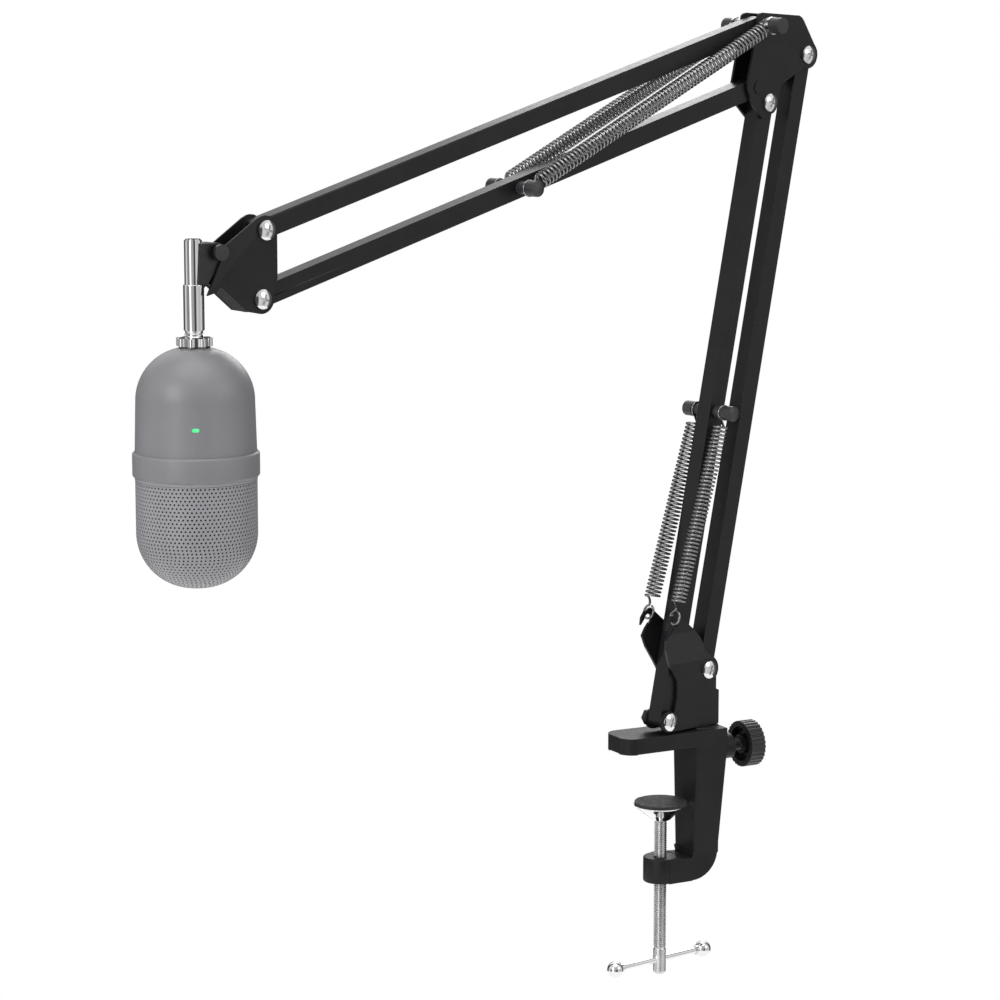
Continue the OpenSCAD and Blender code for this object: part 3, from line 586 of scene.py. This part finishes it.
world = bpy.data.worlds.new("studio")
bpy.context.scene.world = world
world.use_nodes = True
world_nodes, world_links = world.node_tree.nodes, world.node_tree.links
world_nodes.clear()
out = world_nodes.new("ShaderNodeOutputWorld")
mix = world_nodes.new("ShaderNodeMixShader")
seen = world_nodes.new("ShaderNodeBackground")
seen.inputs["Color"].default_value = (1, 1, 1, 1)
seen.inputs["Strength"].default_value = 1.0
room = world_nodes.new("ShaderNodeBackground")
path = world_nodes.new("ShaderNodeLightPath")
coord = world_nodes.new("ShaderNodeTexCoord")


def math_node(kind, a, b):
    n = world_nodes.new("ShaderNodeMath")
    n.operation = kind
    for socket, value in zip(n.inputs, (a, b)):
        if isinstance(value, float):
            socket.default_value = value
        else:
            world_links.new(value, socket)
    return n.outputs[0]


def along_axis(v):
    """How far the looked-at direction goes along v."""
    n = world_nodes.new("ShaderNodeVectorMath")
    n.operation = "DOT_PRODUCT"
    n.inputs[1].default_value = v
    world_links.new(coord.outputs["Generated"], n.inputs[0])
    return n.outputs["Value"]


def profile(fac, stops):
    """Grey ramp over fac, from (place, brightness) stops."""
    r = world_nodes.new("ShaderNodeValToRGB")
    e = r.color_ramp.elements
    e[0].position, e[0].color = stops[0][0], (stops[0][1],) * 3 + (1,)
    e[1].position, e[1].color = stops[-1][0], (stops[-1][1],) * 3 + (1,)
    for place, value in stops[1:-1]:
        e.new(place).color = (value, value, value, 1)
    world_links.new(fac, r.inputs["Fac"])
    return r.outputs["Color"]


# Heading round the studio: 0.5 straight in front of the part, 0 and 1 straight behind it
front = Vector((-0.4843, -0.8749, 0))
turn = math_node("ARCTAN2", along_axis(UP.cross(front)), along_axis(front))
heading = math_node("ADD", math_node("MULTIPLY", turn, 0.5 / math.pi), 0.5)
# Brightness of the walls and, further up, of the ceiling, by heading
WALLS = (
    (0.0, 0.08), (0.19, 0.08), (0.22, 0.75), (0.26, 0.7), (0.3, 0.25), (0.36, 0.25), (0.385, 0.5),
    (0.4, 2.2), (0.42, 2.2), (0.435, 0.5), (0.47, 0.4), (0.525, 0.35), (0.535, 0.06), (0.585, 0.06),
    (0.6, 0.7), (0.7, 0.5), (0.77, 0.75), (0.81, 0.08), (1.0, 0.08),
)
CEILING = (
    (0.0, 1.0), (0.11, 1.0), (0.14, 0.08), (0.2, 0.08), (0.23, 0.9), (0.35, 0.6), (0.5, 0.45),
    (0.65, 0.6), (0.77, 0.9), (0.8, 0.08), (0.86, 0.08), (0.89, 1.0), (1.0, 1.0),
)
low = profile(heading, WALLS)
high = profile(heading, CEILING)
rise = world_nodes.new("ShaderNodeMapRange")
rise.interpolation_type = "SMOOTHSTEP"
rise.inputs["From Min"].default_value = 0.12
rise.inputs["From Max"].default_value = 0.4
world_links.new(along_axis(UP), rise.inputs["Value"])
blend = world_nodes.new("ShaderNodeMix")
blend.data_type = "RGBA"
# This node keeps its colours at inputs 6 and 7 and at output 2
world_links.new(rise.outputs["Result"], blend.inputs["Factor"])
world_links.new(low, blend.inputs[6])
world_links.new(high, blend.inputs[7])
world_links.new(blend.outputs[2], room.inputs["Color"])
room.inputs["Strength"].default_value = 1.15
world_links.new(path.outputs["Is Camera Ray"], mix.inputs["Fac"])
world_links.new(room.outputs["Background"], mix.inputs[1])
world_links.new(seen.outputs["Background"], mix.inputs[2])
world_links.new(mix.outputs["Shader"], out.inputs["Surface"])


def area(name, place, aim, size, power):
    """Round area light at place, turned to aim."""
    lamp = bpy.data.lights.new(name, "AREA")
    lamp.shape = "DISK"
    lamp.size = size
    lamp.energy = power
    o = bpy.data.objects.new(name, lamp)
    o.location = place
    o.rotation_mode = "QUATERNION"
    o.rotation_quaternion = (Vector(aim) - Vector(place)).to_track_quat("-Z", "Y")
    bpy.context.scene.collection.objects.link(o)


area("key", (-1.9, -0.7, 0.9), (-0.2, 0, 0.2), size=0.9, power=13.0)
area("fill", (0.9, -1.6, 0.9), (-0.1, 0, 0.15), size=1.0, power=4.0)
area("rim", (0.9, 1.2, 0.9), (-0.1, 0, 0.2), size=0.9, power=6.0)
sun = bpy.data.lights.new("overhead", "SUN")
sun.energy = 1.2
sun.angle = math.radians(50)
overhead = bpy.data.objects.new("overhead", sun)
overhead.rotation_mode = "QUATERNION"
overhead.rotation_quaternion = Vector((0.1, 0.15, -1)).to_track_quat("-Z", "Y")
bpy.context.scene.collection.objects.link(overhead)

cam = bpy.data.cameras.new("camera")
cam.lens = 112.03
cam.sensor_width = 36.0
cam.clip_start = 0.05
cam.clip_end = 50.0
camera = bpy.data.objects.new("camera", cam)
camera.location = (-0.8860, -1.4175, 0.3950)
az, el = math.radians(-28.97), math.radians(8.79)
back = Vector((math.sin(az) * math.cos(el), -math.cos(az) * math.cos(el), math.sin(el)))
camera.rotation_mode = "QUATERNION"
camera.rotation_quaternion = (-back).to_track_quat("-Z", "Y")
bpy.context.scene.collection.objects.link(camera)
bpy.context.scene.camera = camera
bpy.context.scene.view_settings.view_transform = "Standard"
